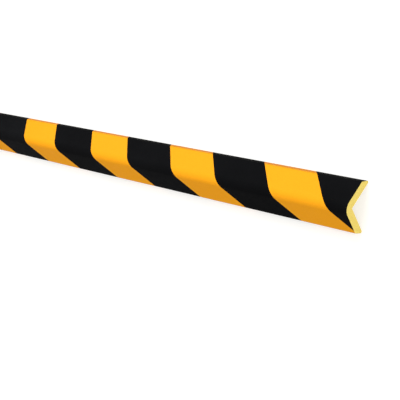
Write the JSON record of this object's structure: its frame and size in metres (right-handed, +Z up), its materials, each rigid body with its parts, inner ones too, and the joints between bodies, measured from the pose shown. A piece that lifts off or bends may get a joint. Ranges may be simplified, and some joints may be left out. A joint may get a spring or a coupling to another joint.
{
  "type": "corner protection profile",
  "caption": "Soft foam angle profile with a rounded ridge and black and yellow hazard stripes, glued over the edge of a wall, rack or machine.",
  "frame": {"origin": "middle of the surface that the profile lies on, halfway along its length", "axes": "+X along the length, +Z up through the rounded ridge, the two legs fall away to +Y and -Y"},
  "size_m": [1, 0.0354, 0.0229],
  "materials": {
    "foam": "satin closed skin, yellow with black diagonal stripes"
  },
  "bodies": {
    "root": {"corner_profile": "foam"}
  },
  "joints": []
}
